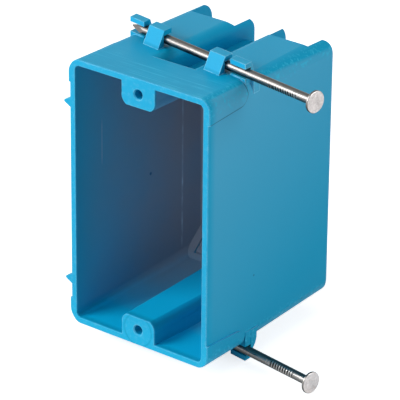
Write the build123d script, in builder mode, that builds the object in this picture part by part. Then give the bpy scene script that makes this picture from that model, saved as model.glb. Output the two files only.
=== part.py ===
from build123d import *
import math
import os

# New work outlet box, single gang, with its two fixing nails.
# Millimetres. +X points away from the stud, +Y into the wall, +Z up.
# The origin lies in the plane of the rim, midway between the two device screws.

# Shell
screw_spacing = 83.34
screw_to_edge = 5.43
box_width = 56.06
box_depth = 68.8
side_draft = 0.9
end_draft = 0.75
wall = 2.1
rear_wall = 2.1
rim_corner_r = 3.9
rear_corner_r = 6.0
rear_side_r = 2.7
rear_end_r = 5.8
inner_end_r = 3.0
inner_side_r = 1.0
corner_skim = 0.04
rim_edge_r = 0.25

# Device screw bosses and the grooves behind them
screw_hole_r = 1.6
screw_mouth = 0.35
groove_start = 17.7
groove_half = 6.05
groove_depth = 8.4
groove_edge_r = 3.7
groove_end_r = 6.2
rib_skin = 1.6
rib_corner = 3.9
rib_bulge = 0.55
boss_half = 6.7
boss_bevel = 1.9
rib_flare = 2.1
rib_root_flare = 4.6

# Cable clamps at the rear corners
clamp_reach = 11.8
clamp_angle = 41.0
clamp_thickness = 1.7
fin = 0.75
shoulder = 4.2
slit = 0.6
tongue_gap = 1.6
tongue_end_lip = 2.2

# Nails and the hooks that hold them
nail_length = 84.4
nail_r = 1.55
nail_head_r = 3.7
nail_head_t = 0.9
nail_edge_r = 0.3
nail_point = 6.4
nail_lift = 1.9
nail_clearance = 0.1
nail_angle = 9.3
upper_mid_x = 14.9
upper_mid_y = 23.65
lower_mid_x = 15.6
lower_mid_y = 24.45
grip_from = 9.5
grip_pitch = 1.1
grip_count = 10
grip_depth = 0.18
hook_top = 1.7
hook_drop = 1.6
hook_base = 3.75
hook_lip = 0.6
back_base = 3.9
roof_half = 1.25
floor_lip = 1.2
ear_width = 3.0
ear_foot = -7.0
front_hook_x = ((-17.5, -10.5), (10.8, 17.7))
rear_hook_x = ((-24.2, -20.3), (19.8, 26.6))
flange_x = ((-26.9, -20.3), (19.8, 26.6))
lower_side_shift = 1.3

# Raised collar round the hooks and the nubs on the stud side
collar_step = 0.45
collar_corner_r = 4.3
stud_step = 0.6
stud_corner_r = 5.0
collar_depth = 19.9
collar_foot = 8.6
collar_turn = 3.5
collar_ramp = 1.1
nub_drop = 15.5
nub_reach = 2.5
nub_half = 1.7
nub_depth = 2.0

# Sizes that follow from these
box_height = screw_spacing + 2 * screw_to_edge
half_width = box_width / 2
half_height = box_height / 2
cavity_depth = box_depth - rear_wall
groove_floor_z = half_height - groove_depth
rib_face_z = groove_floor_z - rib_skin
rib_side_z = rib_face_z + rib_corner
pocket_inner = groove_half + fin
pocket_outer = half_width - shoulder
tongue_inner = pocket_inner + tongue_gap
tongue_outer = pocket_outer - tongue_gap
clamp_start = box_depth - clamp_reach
tongue_end = clamp_start + tongue_end_lip
nail_z = half_height + nail_lift
nub_z = half_height - nub_drop


def depth_plane(depth):
    """Plane parallel to the rim at a depth behind it, with X across and Z up"""
    return Plane.XZ.offset(-depth)


def top_z(depth):
    """Height of the drafted top face at a depth behind the rim"""
    return half_height - end_draft * depth / box_depth


def corner_outline(depth, inset):
    """Outline with rounded corners at a depth, a little outside the flat sides so that it only cuts corners"""
    share = depth / box_depth
    corner_r = rim_corner_r + (rear_corner_r - rim_corner_r) * share
    grow = corner_skim - inset
    width = box_width - side_draft * share + 2 * grow
    with BuildSketch(depth_plane(depth)) as outline:
        with Locations((-side_draft * share / 2, 0)):
            RectangleRounded(width, 2 * (top_z(depth) + grow), corner_r + grow)
    return outline.sketch


def drafted_block(inset, front, rear, end_r, side_r):
    """Block with the shell's draft and corners, set in from its sides and rounded at the rear"""
    side_slope = side_draft / box_depth
    with BuildPart() as block:
        with BuildSketch(Plane.XY.offset(-half_height)):
            with BuildLine():
                Polyline((-half_width + inset, front), (half_width - inset - side_slope * front, front),
                         (half_width - inset - side_slope * rear, rear), (-half_width + inset, rear), close=True)
            make_face()
        extrude(amount=box_height)
        with BuildSketch(Plane.YZ):
            with BuildLine():
                Polyline((front, inset - top_z(front)), (rear, inset - top_z(rear)), (rear, top_z(rear) - inset),
                         (front, top_z(front) - inset), close=True)
            make_face()
        extrude(amount=box_width, both=True, mode=Mode.INTERSECT)
        fillet(block.faces().sort_by(Axis.Y)[-1].edges().filter_by(Axis.X), end_r)
        fillet(block.faces().sort_by(Axis.Y)[-1].edges().filter_by(Axis.Z), side_r)
        loft([corner_outline(front, inset), corner_outline(rear, inset)], ruled=True, mode=Mode.INTERSECT)
    return block.part


# Rib inside the shell: screw boss at the rim, skin of the outside groove behind it
def rib_outline(depth, flat_half, side_half, root_half):
    """Section of the rib, wider at its root so that the groove edge can be rounded"""
    root_z = half_height + 1
    bend = ((flat_half + side_half) / 2 + rib_bulge, (rib_face_z + rib_side_z) / 2 - rib_bulge)
    with BuildSketch(depth_plane(depth)) as outline:
        with BuildLine():
            Line((-flat_half, rib_face_z), (flat_half, rib_face_z))
            ThreePointArc((flat_half, rib_face_z), bend, (side_half, rib_side_z))
            Line((side_half, rib_side_z), (root_half, root_z))
            Line((root_half, root_z), (-root_half, root_z))
            Line((-root_half, root_z), (-side_half, rib_side_z))
            ThreePointArc((-side_half, rib_side_z), (-bend[0], bend[1]), (-flat_half, rib_face_z))
        make_face()
    return outline.sketch


boss_flat = boss_half - boss_bevel
rib_sections = [
    rib_outline(-1, boss_flat, boss_half, boss_half),
    rib_outline(groove_start - wall, boss_flat + 0.4, boss_half + 0.6, boss_half + 2.2),
    rib_outline(box_depth, groove_half + 0.8, groove_half + rib_flare, groove_half + rib_root_flare),
]
# A heel at its rear keeps the wall even under the rounded end of the groove
heel_r = groove_end_r - rear_wall
with BuildPart() as rib:
    loft(rib_sections, ruled=True)
    with BuildSketch(Plane.YZ):
        with BuildLine():
            Line((box_depth, rib_face_z - heel_r), (cavity_depth, rib_face_z - heel_r))
            RadiusArc((cavity_depth, rib_face_z - heel_r), (cavity_depth - heel_r, rib_face_z), -heel_r)
            Polyline((cavity_depth - heel_r, rib_face_z), (cavity_depth - heel_r, half_height),
                     (box_depth, half_height), (box_depth, rib_face_z - heel_r))
        make_face()
    extrude(amount=groove_half + rib_skin, both=True)

# Groove outside the rib, with rounded long edges that follow the draft of the top
def groove_outline(depth):
    """Section of the groove up to the top face"""
    edge_z = top_z(depth)
    outer = groove_half + groove_edge_r
    with BuildSketch(depth_plane(depth)) as outline:
        with BuildLine():
            Polyline((-groove_half, edge_z - groove_edge_r), (-groove_half, groove_floor_z),
                     (groove_half, groove_floor_z), (groove_half, edge_z - groove_edge_r))
            RadiusArc((groove_half, edge_z - groove_edge_r), (outer, edge_z), groove_edge_r)
            Polyline((outer, edge_z), (outer, half_height + 1), (-outer, half_height + 1), (-outer, edge_z))
            RadiusArc((-outer, edge_z), (-groove_half, edge_z - groove_edge_r), groove_edge_r)
        make_face()
    return outline.sketch


with BuildPart() as groove:
    loft([groove_outline(groove_start), groove_outline(box_depth)], ruled=True)

# Slope of a clamp in the YZ plane, outside face first
clamp_fall = math.tan(math.radians(clamp_angle))
clamp_drop = clamp_thickness / math.cos(math.radians(clamp_angle))
clamp_top_z = top_z(clamp_start)
clamp_end = box_depth + 2


def clamp_wedge(drop):
    """Space above a clamp slope that lies a drop below its outside face, at the top and the bottom"""
    high_z = half_height + 3
    start = clamp_start - (high_z - clamp_top_z + drop) / clamp_fall
    low_z = clamp_top_z - drop - clamp_fall * (clamp_end - clamp_start)
    with BuildSketch(Plane.YZ) as wedge:
        with BuildLine():
            Polyline((start, high_z), (clamp_end, low_z), (clamp_end, high_z), close=True)
        make_face()
        mirror(about=Plane.XZ)
    return wedge.sketch


# Hollow of the box
with BuildPart() as cavity:
    add(drafted_block(wall, -1, cavity_depth, inner_end_r, inner_side_r))
    add(rib.part, mode=Mode.SUBTRACT)
    add(rib.part.mirror(Plane.XY), mode=Mode.SUBTRACT)
    extrude(clamp_wedge(clamp_drop), amount=box_width, both=True, mode=Mode.SUBTRACT)

# Hooks for one nail, drawn for the top of the box: points across the nail, u to the rear and v up
nail_seat = nail_r + nail_clearance
hook_z = nail_seat + hook_top


def nail_plane(mid_x, mid_y):
    """Plane across a nail at the middle of its length, facing the head"""
    turn = math.radians(nail_angle)
    across = (math.sin(turn), math.cos(turn), 0)
    along = (math.cos(turn), -math.sin(turn), 0)
    return Plane((mid_x, mid_y, nail_z), x_dir=across, z_dir=along)


def nail_section(seat, points, x_from, x_to):
    """Solid with a constant section along the nail, trimmed square to the stud face"""
    with BuildPart() as piece:
        with BuildSketch(seat.offset(-box_width)):
            with BuildLine():
                Polyline(*points, close=True)
            make_face()
        extrude(amount=2 * box_width)
        with Locations(((x_from + x_to) / 2, seat.origin.Y, nail_z)):
            Box(x_to - x_from, box_depth, box_height, mode=Mode.INTERSECT)
    return piece.part


# In front of the nail: a wedge with a roof, open to the rear
front_hook = (
    (-nail_seat - hook_base, -nail_seat - hook_drop),
    (-nail_seat + 0.25, hook_z),
    (nail_seat + hook_lip, hook_z),
    (nail_seat + hook_lip, nail_seat),
    (-nail_seat, nail_seat),
    (-nail_seat, -nail_seat - hook_drop),
)
# Behind the nail: a wall that thickens to its foot
rear_hook = (
    (nail_seat, hook_z),
    (nail_seat + hook_lip / 2, hook_z),
    (nail_seat + back_base, ear_foot),
    (nail_seat, ear_foot),
)
# Over the nail in front of the rear wall, and the floor under it
roof = (
    (-roof_half, nail_seat),
    (-roof_half, hook_z),
    (nail_seat + hook_lip / 2, hook_z),
    (nail_seat + 1.5 * hook_lip, nail_seat),
)
floor = (
    (-roof_half, -nail_seat),
    (nail_seat + floor_lip, -nail_seat),
    (nail_seat + floor_lip, ear_foot),
    (-roof_half, ear_foot),
)
# Ear of the side wall behind the nail, with its top corner cut back
ear = (
    (nail_seat, 0),
    (nail_seat + ear_width - 1.6, -0.1),
    (nail_seat + ear_width - 0.6, -1.4),
    (nail_seat + ear_width, -3.2),
    (nail_seat + ear_width, ear_foot),
    (nail_seat, ear_foot),
)
ear_x = (half_width - wall, half_width)


def hook_set(seat, side_shift):
    """Every hook of one nail; the shift moves those next to the side away from the stud"""
    spans = [(front_hook, *front_hook_x[0]), (front_hook, *front_hook_x[1]), (ear, *ear_x)]
    for points, (stud_side, far_side) in ((rear_hook, rear_hook_x), (roof, flange_x), (floor, flange_x)):
        spans.append((points, *stud_side))
        spans.append((points, far_side[0] + side_shift, far_side[1] + side_shift))
    return [nail_section(seat, *span) for span in spans]


upper_seat = nail_plane(upper_mid_x, upper_mid_y)
lower_seat = nail_plane(lower_mid_x, lower_mid_y)
hooks = hook_set(upper_seat, 0)
hooks += [hook.mirror(Plane.XY) for hook in hook_set(lower_seat, lower_side_shift)]

# Raised collar: a skin on the sides next to the hooks, thicker on the stud side
collar_low_z = half_height - collar_foot
turn_start = (collar_depth - collar_turn, collar_low_z + collar_ramp)
turn_mid = (collar_depth - 0.26 * collar_turn, collar_low_z + 0.74 * collar_turn)
turn_end = (collar_depth, half_height - collar_turn)


def collar_skin(step, corner_r, reach):
    """Collar on one side of the box, cut to its outline in the YZ plane"""
    with BuildPart() as skin:
        for depth in (0, collar_depth + 1):
            with BuildSketch(depth_plane(depth)):
                RectangleRounded(box_width + 2 * step, 2 * top_z(depth), corner_r)
        loft()
        with BuildSketch(Plane.YZ):
            with BuildLine():
                Polyline(turn_end, (collar_depth, half_height + 1), (-1, half_height + 1), (-1, collar_low_z),
                         turn_start)
                ThreePointArc(turn_start, turn_mid, turn_end)
            make_face()
            mirror(about=Plane.XZ)
        extrude(amount=reach, mode=Mode.INTERSECT)
    return skin.part


# Moulding
with BuildPart() as outlet_box:
    add(drafted_block(0, 0, box_depth, rear_end_r, rear_side_r))
    add(collar_skin(collar_step, collar_corner_r, box_width))
    add(collar_skin(stud_step, stud_corner_r, -box_width))

    # Grooves that clear the device screws
    add(groove.part, mode=Mode.SUBTRACT)
    add(groove.part.mirror(Plane.XY), mode=Mode.SUBTRACT)
    floor_ends = outlet_box.edges().filter_by(Axis.X).filter_by(
        lambda e: abs(e.center().Y - box_depth) < 0.01 and abs(abs(e.center().Z) - groove_floor_z) < 0.01
    )
    fillet(floor_ends, groove_end_r)

    # Pockets over the clamps
    for pocket_x in (pocket_inner, -pocket_outer):
        wedge = clamp_wedge(0).moved(Location((pocket_x, 0, 0)))
        extrude(wedge, amount=pocket_outer - pocket_inner, dir=(1, 0, 0), mode=Mode.SUBTRACT)

    add(hooks)
    add(cavity.part, mode=Mode.SUBTRACT)

    # Slits that free each tongue on three sides
    tongue_width = tongue_outer - tongue_inner
    tongue_mid = (tongue_outer + tongue_inner) / 2
    with BuildSketch(Plane.XY.offset(-half_height)):
        with Locations((tongue_mid, tongue_end - slit), (-tongue_mid, tongue_end - slit)):
            Rectangle(tongue_width + 2 * slit, cavity_depth - tongue_end, align=(Align.CENTER, Align.MIN))
            with Locations((0, slit)):
                Rectangle(tongue_width, cavity_depth, align=(Align.CENTER, Align.MIN), mode=Mode.SUBTRACT)
    extrude(amount=box_height, mode=Mode.SUBTRACT)

    # Device screw holes, open into the grooves
    with BuildSketch(depth_plane(0)):
        with Locations((0, screw_spacing / 2), (0, -screw_spacing / 2)):
            Circle(screw_hole_r)
    extrude(amount=-groove_start - 1, mode=Mode.SUBTRACT)
    rim_edges = outlet_box.faces().filter_by(Axis.Y).sort_by(Axis.Y)[0].edges().filter_by(
        lambda e: e.geom_type != GeomType.CIRCLE or abs(e.radius - screw_hole_r) > 0.01
    )
    fillet(rim_edges, rim_edge_r)
    mouths = outlet_box.edges().filter_by(GeomType.CIRCLE).filter_by(
        lambda e: abs(e.center().Y) < 0.01 and abs(e.radius - screw_hole_r) < 0.01
    )
    chamfer(mouths, screw_mouth)

    # Nubs on the stud side of the rim
    nub_x = -half_width - nub_reach
    with BuildSketch(depth_plane(0)):
        with BuildLine():
            Polyline((nub_x + 0.3, nub_z + 0.5), (-half_width, nub_z + nub_half), (-half_width + 1, nub_z + nub_half),
                     (-half_width + 1, nub_z - nub_half), (-half_width, nub_z - nub_half), (nub_x + 0.3, nub_z - 0.5))
            ThreePointArc((nub_x + 0.3, nub_z - 0.5), (nub_x, nub_z), (nub_x + 0.3, nub_z + 0.5))
        make_face()
        mirror(about=Plane.XZ)
    extrude(amount=-nub_depth)

# Nail point: four flats
with BuildPart() as point_cutter:
    with BuildSketch(Plane.XZ):
        with BuildLine():
            Polyline((0.2, 0), (nail_r + 0.05, nail_point), (nail_r + 2, nail_point), (nail_r + 2, -1), (0.2, -1),
                     close=True)
        make_face()
    extrude(amount=nail_r * 2, both=True)

# Nail along its own axis, tip at the start
with BuildPart() as nail:
    Cylinder(nail_r, nail_length - nail_head_t / 2, align=(Align.CENTER, Align.CENTER, Align.MIN))
    with Locations((0, 0, nail_length - nail_head_t)):
        Cylinder(nail_head_r, nail_head_t, align=(Align.CENTER, Align.CENTER, Align.MIN))
    head_edges = nail.edges().filter_by(GeomType.CIRCLE).filter_by(lambda e: e.radius > nail_head_r - 0.01)
    fillet(head_edges, nail_edge_r)
    with PolarLocations(0, 4):
        add(point_cutter.part, mode=Mode.SUBTRACT)
    grips = [nail_length - grip_from - grip_pitch * step for step in range(grip_count)]
    for turn in (20, 200):
        with Locations(*[Location((0, 0, place), (0, 0, turn)) for place in grips]):
            with Locations((nail_r - grip_depth + 0.5, 0, 0)):
                Box(1.0, 2 * nail_r, grip_pitch / 2, mode=Mode.SUBTRACT)

with BuildPart() as upper_nail:
    add(upper_seat.offset(-nail_length / 2).location * nail.part)

with BuildPart() as lower_nail:
    add((lower_seat.offset(-nail_length / 2).location * nail.part).mirror(Plane.XY))

outlet_box.part.label = "outlet_box"
upper_nail.part.label = "upper_nail"
lower_nail.part.label = "lower_nail"

os.makedirs("parts", exist_ok=True)
export_step(outlet_box.part, "parts/outlet_box.step")
export_step(upper_nail.part, "parts/upper_nail.step")
export_step(lower_nail.part, "parts/lower_nail.step")
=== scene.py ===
import bpy
import math
from mathutils import Matrix, Vector


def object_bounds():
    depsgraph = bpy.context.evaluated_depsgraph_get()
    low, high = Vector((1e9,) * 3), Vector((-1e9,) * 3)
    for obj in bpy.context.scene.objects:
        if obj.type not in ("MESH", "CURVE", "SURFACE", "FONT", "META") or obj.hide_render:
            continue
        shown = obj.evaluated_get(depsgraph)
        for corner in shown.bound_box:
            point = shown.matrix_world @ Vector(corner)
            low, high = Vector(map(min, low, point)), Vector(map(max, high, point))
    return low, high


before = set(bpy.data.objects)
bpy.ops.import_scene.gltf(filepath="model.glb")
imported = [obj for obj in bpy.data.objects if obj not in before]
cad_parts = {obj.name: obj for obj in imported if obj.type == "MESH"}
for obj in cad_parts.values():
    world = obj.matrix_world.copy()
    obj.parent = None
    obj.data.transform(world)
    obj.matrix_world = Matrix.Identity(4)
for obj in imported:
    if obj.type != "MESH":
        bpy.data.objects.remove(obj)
cad_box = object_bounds()

# Colours of the plastic, from the plain walls to the worn edges, with painted light and shade among them
BLUE = (0.002, 0.375, 0.640, 1)
BLUE_DEEP = (0.002, 0.350, 0.600, 1)
# The next two are the painted sheen and painted shade of the open side
BLUE_PAINTED_SHEEN = (0.082, 0.420, 0.660, 1)
BLUE_PAINTED_SHADE = (0.001, 0.340, 0.585, 1)
# The next two are painted light on the front-facing rim
BLUE_RIM_PAINTED_LIGHT = (0.020, 0.435, 0.745, 1)
BLUE_RIM_LOW_PAINTED_LIGHT = (0.020, 0.510, 0.835, 1)
# Painted light on the inner floor and the lower block
BLUE_SILL_PAINTED_LIGHT = (0.002, 0.500, 0.850, 1)
# Painted light on the front faces of the hooks
BLUE_HOOK_PAINTED_LIGHT = (0.020, 0.470, 0.800, 1)
BLUE_WORN = (0.040, 0.520, 0.760, 1)
# Pale edge colour: wear and painted edge highlights, also the rim's mottling
BLUE_EDGE = (0.260, 0.700, 0.900, 1)
# Dark blue of the specks, and of the painted shadow under the collar step
BLUE_SPECK_AND_PAINTED_SHADOW = (0.001, 0.100, 0.230, 1)
# Grey of the painted reflection inside and on the upper block's flanks
GREY_PAINTED_REFLECTION = (0.380, 0.370, 0.430, 1)
# Pale colour of the painted highlight lines inside
PALE_PAINTED_HIGHLIGHT = (0.620, 0.740, 0.820, 1)

# Colours of the nails, with the dark of their painted reflection and grip shade, and the floor
STEEL = (0.580, 0.550, 0.530, 1)
STEEL_HEAD = (0.840, 0.790, 0.780, 1)
# Painted dark of the nails' reflection and of the shade in their grip grooves
STEEL_PAINTED_DARK = (0.064, 0.066, 0.062, 1)
FLOOR_GREY = (0.8, 0.8, 0.8, 1)

# Places in metres from the middle of the rim, as in the CAD: X away from the stud, Y into the wall, Z up.
# Here and below, a pair is a soft edge: a mask is 0 at its first number and 1 at its second.
SHELL_MIDDLE = (0, 0.034, 0)
SCREW_Z = 0.04167
OPEN_SIDE_X = (0.0262, 0.0268)
FACES_MIDDLE = (-0.010, -0.013)
NAIL_ANGLE = math.radians(9.3)
UPPER_NAIL_MIDDLE = (0.0149, 0.02365, 0)
LOWER_NAIL_MIDDLE = (0.0156, 0.02445, 0)

# Floor and world
FLOOR_SIZE = 6
FLOOR_GAP = 0.0001
FLOOR_GLOW = 0.75
FLOOR_MIRRORED = 0.3
WORLD_AMBIENT = 0.12
WORLD_SHOWN = 1.0

# Lamps
LAMP_DISTANCE = 0.9
LAMP_SIZE = 0.5

# Camera fitted to the photograph
AZIMUTH = math.radians(37.737)
ELEVATION = math.radians(25.206)
ROLL = math.radians(0.583)
DISTANCE = 0.9909
SHIFT_RIGHT = 0.019846
SHIFT_UP = 0.004717
FOCAL_PX = 3099.5
IMAGE_PX = 400
SENSOR_MM = 36
NEAREST = 0.01


class Nodes:
    """Node tree, with short ways to add nodes to it"""

    def __init__(self, tree):
        self.nodes = tree.nodes
        self.links = tree.links

    def put(self, value, socket):
        """Links a node output, or writes a plain value"""
        if isinstance(value, bpy.types.NodeSocket):
            self.links.new(value, socket)
        else:
            socket.default_value = value

    def calc(self, operation, *values):
        node = self.nodes.new("ShaderNodeMath")
        node.operation = operation
        for index, value in enumerate(values):
            self.put(value, node.inputs[index])
        return node.outputs[0]

    def vector(self, operation, first, second):
        node = self.nodes.new("ShaderNodeVectorMath")
        node.operation = operation
        self.put(first, node.inputs[0])
        self.put(second, node.inputs[1])
        return node.outputs

    def minus(self, value, place):
        return self.calc("SUBTRACT", value, place)

    def off(self, value, place):
        """Distance to either side of a place"""
        return self.calc("ABSOLUTE", self.minus(value, place))

    def diagonal(self, first, second):
        """Distance made up of two at right angles"""
        squares = [self.calc("POWER", distance, 2.0) for distance in (first, second)]
        return self.calc("SQRT", self.calc("ADD", *squares))

    def every(self, *masks):
        """Mask that holds where all the given masks do"""
        joined = masks[0]
        for mask in masks[1:]:
            joined = self.calc("MULTIPLY", joined, mask)
        return joined

    def some(self, *masks):
        """Mask that holds where at least one of the given masks does"""
        joined = masks[0]
        for mask in masks[1:]:
            joined = self.calc("MAXIMUM", joined, mask)
        return joined

    def outside(self, mask):
        """Mask that holds where the given one does not"""
        return self.calc("SUBTRACT", 1.0, mask)

    def map_range(self, value, source, target):
        node = self.nodes.new("ShaderNodeMapRange")
        node.inputs["From Min"].default_value, node.inputs["From Max"].default_value = source
        node.inputs["To Min"].default_value, node.inputs["To Max"].default_value = target
        self.links.new(value, node.inputs["Value"])
        return node.outputs["Result"]

    def ramp(self, value, pair):
        """0 at the first of two values, 1 at the second, held beyond them"""
        return self.map_range(value, pair, (0.0, 1.0))

    def spread(self, noise, target):
        """Maps the middle of a noise onto a range"""
        return self.map_range(noise, (0.3, 0.7), target)


class Look(Nodes):
    """Material with its Principled shader, and the place and facing of each point on the surface"""

    def __init__(self, name):
        self.material = bpy.data.materials.new(name)
        self.material.use_nodes = True
        super().__init__(self.material.node_tree)
        self.shader = self.nodes["Principled BSDF"]
        coordinates = self.nodes.new("ShaderNodeTexCoord")
        self.place = coordinates.outputs["Object"]
        self.normal = coordinates.outputs["Normal"]
        self.x, self.y, self.z = self.axes(self.place)
        self.nx, self.ny, self.nz = self.axes(self.normal)
        self.values = {"x": self.x, "y": self.y, "z": self.z, "nx": self.nx, "ny": self.ny, "nz": self.nz}

    def axes(self, vector):
        node = self.nodes.new("ShaderNodeSeparateXYZ")
        self.links.new(vector, node.inputs[0])
        return node.outputs[0], node.outputs[1], node.outputs[2]

    def zone(self, **pairs):
        """Mask that holds past the soft edge of every named value"""
        return self.every(*[self.ramp(self.values[name], pair) for name, pair in pairs.items()])

    def reach(self, start, direction):
        """How far each point lies from a start, taken along a direction"""
        offset = self.vector("SUBTRACT", self.place, start)["Vector"]
        return self.vector("DOT_PRODUCT", direction, offset)["Value"]

    def noise(self, vector, scale, detail):
        node = self.nodes.new("ShaderNodeTexNoise")
        node.inputs["Scale"].default_value = scale
        node.inputs["Detail"].default_value = detail
        self.links.new(vector, node.inputs["Vector"])
        return node.outputs["Fac"]

    def stretched(self, scale, turn=0.0):
        node = self.nodes.new("ShaderNodeMapping")
        node.inputs["Rotation"].default_value = (0, 0, turn)
        node.inputs["Scale"].default_value = scale
        self.links.new(self.place, node.inputs["Vector"])
        return node.outputs["Vector"]

    def spots(self, scale, size):
        """Small round spots, one in each cell of a random pattern"""
        node = self.nodes.new("ShaderNodeTexVoronoi")
        node.inputs["Scale"].default_value = scale
        self.links.new(self.place, node.inputs["Vector"])
        return self.ramp(node.outputs["Distance"], (size, size / 2))

    def edges(self, radius, turned):
        """1 along sharp edges, 0 on plain faces, by how far rounding turns the normal"""
        rounded = self.nodes.new("ShaderNodeBevel")
        rounded.samples = 6
        rounded.inputs["Radius"].default_value = radius
        plain = self.nodes.new("ShaderNodeNewGeometry").outputs["Normal"]
        return self.ramp(self.vector("DOT_PRODUCT", rounded.outputs["Normal"], plain)["Value"], turned)

    def mix(self, share, first, second):
        node = self.nodes.new("ShaderNodeMix")
        node.data_type = "RGBA"
        self.put(share, node.inputs["Factor"])
        self.put(first, node.inputs["A"])
        self.put(second, node.inputs["B"])
        return node.outputs["Result"]

    def finish(self, colour, roughness):
        self.put(colour, self.shader.inputs["Base Color"])
        self.put(roughness, self.shader.inputs["Roughness"])

    def bump(self, height, strength, distance):
        node = self.nodes.new("ShaderNodeBump")
        node.inputs["Strength"].default_value = strength
        node.inputs["Distance"].default_value = distance
        self.links.new(height, node.inputs["Height"])
        self.links.new(node.outputs["Normal"], self.shader.inputs["Normal"])


class BluePlastic(Look):
    """Moulded PVC: satin, greyed inside by a painted reflection, with painted sheen, shade, highlights and
    shadow, and its marks, scratches and worn edges painted in turn
    """

    def __init__(self):
        super().__init__("blue_plastic_look")
        wide = self.calc("ABSOLUTE", self.x)
        tall = self.calc("ABSOLUTE", self.z)
        outward = self.reach(SHELL_MIDDLE, self.normal)
        self.values.update(wide=wide, tall=tall, outward=outward)
        self.clouds = self.noise(self.place, scale=45, detail=3)
        self.colour = self.mix(self.spread(self.clouds, (0.0, 1.0)), BLUE, BLUE_DEEP)
        self.inside = self.inner_walls()
        self.paint_open_side_sheen_and_shade()
        self.paint_rim_light()
        self.paint_screw_ring()
        self.paint_mottling()
        self.paint_sill_light()
        self.paint_grey_reflection()
        self.paint_line_highlights_and_speck()
        self.paint_hook_fronts_light()
        self.paint_scratches()
        self.paint_worn_and_highlit_edges()
        self.paint_collar_step_shadow()
        self.paint(BLUE_SPECK_AND_PAINTED_SHADOW, self.spots(scale=62, size=0.028), share=0.75)
        grain = self.noise(self.place, scale=2600, detail=2)
        self.finish(self.colour, self.spread(grain, (0.34, 0.44)))
        self.bump(grain, strength=0.12, distance=0.00004)
        self.shader.inputs["IOR"].default_value = 1.5
        self.shader.inputs["Specular IOR Level"].default_value = 0.11

    def paint(self, colour, *masks, share):
        """Lays a share of a colour over the rest, where every mask holds"""
        self.colour = self.mix(self.every(*masks, share), self.colour, colour)

    def inner_walls(self):
        """Mask of the faces that line the inside, without the screw blocks and the clamps' pockets"""
        block = self.zone(wide=(0.0082, 0.0074), tall=(0.0350, 0.0360))
        pocket = self.zone(y=(0.0600, 0.0620), tall=(0.0430, 0.0436))
        cheek = self.every(
            self.zone(y=(0.0545, 0.0565), tall=(0.0400, 0.0415)),
            self.zone(wide=(0.0225, 0.0230)),
            self.zone(wide=(0.0244, 0.0240)),
            self.ramp(self.calc("ABSOLUTE", self.nx), (0.5, 0.7)),
        )
        return self.every(
            self.zone(outward=FACES_MIDDLE, tall=(0.0458, 0.0455), y=(0.0678, 0.0674)),
            self.outside(block),
            self.outside(pocket),
            self.outside(cheek),
        )

    def paint_open_side_sheen_and_shade(self):
        """Painted sheen and painted shade: paler at the top front, deeper towards the bottom of the back
        """
        fall = 0.55
        height = self.minus(self.z, self.calc("MULTIPLY", self.y, fall))
        tone = self.mix(self.ramp(height, (-0.060, 0.040)), BLUE_PAINTED_SHADE, BLUE_PAINTED_SHEEN)
        self.paint(tone, self.zone(x=OPEN_SIDE_X, y=(0.001, 0.004)), share=0.85)

    def paint_rim_light(self):
        """Painted light: the rim a little lighter than the walls, most of all at the bottom"""
        tone = self.mix(self.zone(z=(-0.034, -0.044)), BLUE_RIM_PAINTED_LIGHT, BLUE_RIM_LOW_PAINTED_LIGHT)
        self.paint(tone, self.zone(y=(0.0008, 0.0003)), share=0.8)

    def paint_screw_ring(self):
        """Faint ring round the lower screw hole"""
        radius = 0.0056
        from_screw = self.diagonal(self.x, self.minus(self.z, -SCREW_Z))
        ring = self.ramp(self.off(from_screw, radius), (0.00045, 0.00015))
        self.paint(BLUE_DEEP, ring, self.zone(y=(0.0006, 0.0003)), share=0.6)

    def paint_mottling(self):
        """Pale mottling of the rim"""
        mottling = self.ramp(self.noise(self.place, scale=700, detail=3), (0.50, 0.70))
        self.paint(BLUE_EDGE, mottling, self.zone(y=(0.0005, 0.0002)), share=0.14)

    def paint_sill_light(self):
        """Painted light: inner floor and top of the lower block, brighter as in the photograph"""
        lower = self.zone(z=(-0.0300, -0.0320), y=(0.0008, 0.0030))
        self.paint(BLUE_SILL_PAINTED_LIGHT, lower, self.zone(outward=FACES_MIDDLE, nz=(0.6, 0.9)), share=1.0)

    def paint_grey_reflection(self):
        """Painted reflection: grey on the inner walls, heavier towards the back, and on the upper block's
        flanks
        """
        floor_share = 0.75
        low = self.zone(z=(-0.0415, -0.0440))
        on_walls = self.every(self.outside(low), self.zone(y=(-0.003, 0.055)))
        on_floor = self.every(low, self.zone(y=(0.014, 0.050)), floor_share)
        deepening = self.calc("ADD", on_walls, on_floor)
        self.paint(GREY_PAINTED_REFLECTION, self.inside, deepening, self.spread(self.clouds, (0.8, 1.0)), share=1.0)
        flanks = self.every(
            self.zone(wide=(0.0095, 0.0090), z=(0.0340, 0.0350), y=(0.0003, 0.0010)),
            self.zone(z=(0.0460, 0.0455), y=(0.0300, 0.0280)),
            self.ramp(self.calc("MULTIPLY", self.x, self.nx), (0.0030, 0.0050)),
        )
        self.paint(GREY_PAINTED_REFLECTION, flanks, share=0.35)

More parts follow.
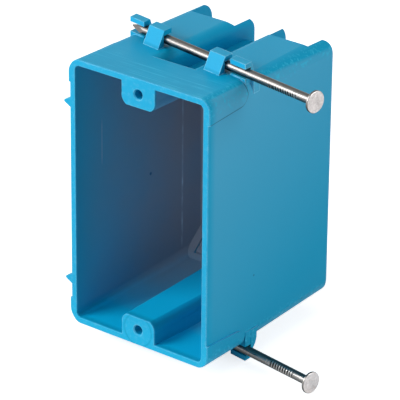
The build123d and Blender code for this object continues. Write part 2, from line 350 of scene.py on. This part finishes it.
    def paint_line_highlights_and_speck(self):
        """Painted highlights: a broken pale line down the inner stud side and a fainter one near the
        front; and a dark speck
        """
        line_y = 0.056
        faint_line_y = 0.0134
        speck_y = 0.0388
        speck_z = -0.0069
        on_wall = self.every(self.inside, self.zone(x=(-0.0225, -0.0235)))
        broken = self.spread(self.noise(self.stretched((1, 1, 0.3)), scale=700, detail=2), (0.1, 1.0))
        line = self.ramp(self.off(self.y, line_y), (0.00055, 0.0002))
        self.paint(PALE_PAINTED_HIGHLIGHT, on_wall, line, self.zone(z=(-0.041, -0.038)), broken, share=1.0)
        faint_line = self.ramp(self.off(self.y, faint_line_y), (0.0003, 0.0001))
        stretch = self.every(self.zone(z=(0.005, 0.008)), self.zone(z=(0.022, 0.019)))
        self.paint(PALE_PAINTED_HIGHLIGHT, on_wall, faint_line, stretch, share=0.3)
        from_speck = self.diagonal(self.minus(self.y, speck_y), self.minus(self.z, speck_z))
        self.paint(BLUE_SPECK_AND_PAINTED_SHADOW, on_wall, self.ramp(from_speck, (0.0007, 0.0004)), share=0.7)

    def paint_hook_fronts_light(self):
        """Painted light: fronts of the hooks, brighter as in the photograph"""
        fronts = self.zone(tall=(0.0474, 0.0480), y=(0.040, 0.034), ny=(-0.55, -0.80))
        self.paint(BLUE_HOOK_PAINTED_LIGHT, fronts, share=0.8)

    def paint_scratches(self):
        """Scratches across the top near the rim, and scuffs along the corners of the open side"""
        lines = self.ramp(self.noise(self.stretched((0.02, 1, 1)), scale=2200, detail=2), (0.52, 0.64))
        patches = self.ramp(self.noise(self.place, scale=120, detail=2), (0.38, 0.58))
        self.paint(BLUE_WORN, self.zone(z=(0.0455, 0.0462), y=(0.019, 0.014)), lines, patches, share=0.75)
        scuffs = self.ramp(self.noise(self.place, scale=900, detail=4), (0.54, 0.66))
        self.paint(BLUE_WORN, self.zone(x=(0.0235, 0.0255), tall=(0.0400, 0.0430)), scuffs, share=0.75)

    def paint_worn_and_highlit_edges(self):
        """Pale edges of the rim, the bosses and the hooks: partly wear, partly painted highlight"""
        edges = self.edges(radius=0.00050, turned=(0.990, 0.930))
        in_front = self.zone(outward=(0.000, 0.004), y=(0.034, 0.028))
        rim_or_upper = self.some(self.zone(y=(0.0015, 0.0008)), self.zone(z=(-0.036, -0.034)))
        broken = self.ramp(self.noise(self.place, scale=300, detail=3), (0.30, 0.55))
        self.paint(BLUE_EDGE, edges, in_front, rim_or_upper, broken, share=0.9)

    def paint_collar_step_shadow(self):
        """Painted shadow: dark line under the step where the collar ends on the open side, with its round
        corner and sloping foot
        """
        centre_y = 0.0164
        centre_z = 0.0431
        radius = 0.0035
        slope = 0.067
        from_centre = self.minus(self.y, centre_y)
        foot = self.calc("ADD", self.calc("MULTIPLY", from_centre, slope), centre_z)
        beyond = self.calc("MAXIMUM", from_centre, 0.0)
        below = self.calc("MAXIMUM", self.minus(foot, self.z), 0.0)
        line = self.ramp(self.off(self.diagonal(beyond, below), radius), (0.00042, 0.00018))
        upper_side = self.zone(x=OPEN_SIDE_X, z=(0.020, 0.021), y=(0.0004, 0.0010))
        self.paint(BLUE_SPECK_AND_PAINTED_SHADOW, line, upper_side, share=0.85)


def nail_steel(name, middle, side):
    """Drawn wire with grip marks, with painted reflection and painted shade in the grip grooves. The side
    is 1 for the nail above the box and -1 for the one below.
    """
    grip_from = (0.0244, 0.0246)
    grip_to = (0.0352, 0.0350)
    first_grip = 0.0248
    grip_pitch = 0.0011
    flank_share = 0.63
    notch_share = 0.7
    look = Look(name)
    streaks = look.noise(look.stretched((0.12, 1, 1), NAIL_ANGLE), scale=1500, detail=3)
    stains = look.noise(look.place, scale=420, detail=4)

    # Painted reflection: bright on the flank and the head, dark above and below
    flank = look.calc("MINIMUM", look.zone(nz=(1.0, 0.55)), look.zone(nz=(-0.45, 0.35)))
    head = look.ramp(look.calc("ABSOLUTE", look.nx), (0.75, 0.9))
    reflecting_faces = look.some(look.every(flank, flank_share), head)
    bright = look.every(reflecting_faces, look.spread(streaks, (0.75, 1.0)), look.spread(stains, (0.8, 1.0)))

    # Grip marks on the half of the wire that is nearer to the box, with painted shade in the grooves
    along = look.reach(middle, (math.cos(NAIL_ANGLE), -math.sin(NAIL_ANGLE), 0))
    from_grip = look.calc("PINGPONG", look.minus(along, first_grip), grip_pitch / 2)
    away = look.calc("MULTIPLY", look.nz, side)
    gripped = look.every(
        look.ramp(along, grip_from),
        look.ramp(along, grip_to),
        look.ramp(away, (0.40, 0.25)),
        look.ramp(away, (-0.95, -0.80)),
    )
    notches = look.every(gripped, look.ramp(from_grip, (0.00022, 0.00034)), notch_share)
    bright = look.calc("ADD", look.every(bright, look.outside(gripped)), notches)

    colour = look.mix(bright, STEEL_PAINTED_DARK, look.mix(head, STEEL, STEEL_HEAD))
    look.finish(colour, look.spread(streaks, (0.24, 0.40)))
    look.bump(streaks, strength=0.25, distance=0.00005)
    look.shader.inputs["Metallic"].default_value = 1.0
    return look.material


def dress(node, material):
    """Gives a CAD node its finish"""
    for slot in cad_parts[node].material_slots:
        slot.material = material


def add_floor():
    """Pale floor below the object, white to the camera and in reflections, with the shadow kept"""
    material = bpy.data.materials.new("floor_look")
    material.use_nodes = True
    tree = Nodes(material.node_tree)
    tree.nodes.remove(tree.nodes["Principled BSDF"])
    diffuse = tree.nodes.new("ShaderNodeBsdfDiffuse")
    diffuse.inputs["Color"].default_value = FLOOR_GREY
    path = tree.nodes.new("ShaderNodeLightPath").outputs
    direct = tree.every(tree.some(path["Is Camera Ray"], path["Is Transmission Ray"]), FLOOR_GLOW)
    mirrored = tree.every(path["Is Glossy Ray"], FLOOR_MIRRORED)
    glow = tree.nodes.new("ShaderNodeEmission")
    tree.put(tree.some(direct, mirrored), glow.inputs["Strength"])
    both = tree.nodes.new("ShaderNodeAddShader")
    tree.put(diffuse.outputs[0], both.inputs[0])
    tree.put(glow.outputs[0], both.inputs[1])
    tree.put(both.outputs[0], tree.nodes["Material Output"].inputs["Surface"])

    floor_z = cad_box[0][2] - FLOOR_GAP
    bpy.ops.mesh.primitive_plane_add(size=FLOOR_SIZE, location=(0, 0, floor_z))
    floor = bpy.context.object
    floor.name = "floor"
    floor.data.materials.append(material)


def add_world():
    """Plain soft light, white to the camera, in reflections and through clear pieces"""
    world = bpy.data.worlds.new("studio")
    bpy.context.scene.world = world
    world.use_nodes = True
    tree = Nodes(world.node_tree)
    path = tree.nodes.new("ShaderNodeLightPath").outputs
    seen = tree.some(path["Is Camera Ray"], path["Is Glossy Ray"], path["Is Transmission Ray"])
    background = tree.nodes["Background"]
    background.inputs["Color"].default_value = (1, 1, 1, 1)
    tree.put(tree.map_range(seen, (0.0, 1.0), (WORLD_AMBIENT, WORLD_SHOWN)), background.inputs["Strength"])


def add_softbox(name, direction, level):
    """Square area lamp; level 1 lights a white surface that faces it to white"""
    lamp = bpy.data.lights.new(name, "AREA")
    lamp.shape = "SQUARE"
    lamp.size = LAMP_SIZE
    lamp.energy = level * math.pi ** 2 * LAMP_DISTANCE ** 2
    place = Vector(direction).normalized() * LAMP_DISTANCE
    holder = bpy.data.objects.new(name, lamp)
    holder.location = place
    holder.rotation_euler = place.to_track_quat("Z", "Y").to_euler()
    bpy.context.collection.objects.link(holder)


def add_camera():
    """Camera with the pose and lens that were fitted to the photograph"""
    flat = math.cos(ELEVATION)
    ahead = Vector((-math.sin(AZIMUTH) * flat, math.cos(AZIMUTH) * flat, -math.sin(ELEVATION)))
    level_right = Vector((math.cos(AZIMUTH), math.sin(AZIMUTH), 0))
    level_up = level_right.cross(ahead)
    right = math.cos(ROLL) * level_right + math.sin(ROLL) * level_up
    up = -math.sin(ROLL) * level_right + math.cos(ROLL) * level_up
    place = SHIFT_RIGHT * right + SHIFT_UP * up - DISTANCE * ahead
    lens = bpy.data.cameras.new("camera")
    lens.sensor_width = SENSOR_MM
    lens.lens = FOCAL_PX * SENSOR_MM / IMAGE_PX
    lens.clip_start = NEAREST
    lens.dof.use_dof = False
    camera = bpy.data.objects.new("camera", lens)
    turn = Matrix((right, up, -ahead)).transposed()
    camera.matrix_world = Matrix.Translation(place) @ turn.to_4x4()
    bpy.context.collection.objects.link(camera)
    bpy.context.scene.camera = camera


dress("outlet_box", BluePlastic().material)
dress("upper_nail", nail_steel("upper_nail_look", UPPER_NAIL_MIDDLE, 1.0))
dress("lower_nail", nail_steel("lower_nail_look", LOWER_NAIL_MIDDLE, -1.0))

add_floor()
add_world()
add_softbox("key", (-0.8, -1.0, 0.8), 0.78)
add_softbox("front", (0.1, -1.0, 0.55), 0.20)
add_softbox("side", (1.0, 0.3, 0.35), 0.40)
add_softbox("top", (0.0, 0.2, 1.0), 0.14)
add_camera()
bpy.context.scene.view_settings.view_transform = "Standard"
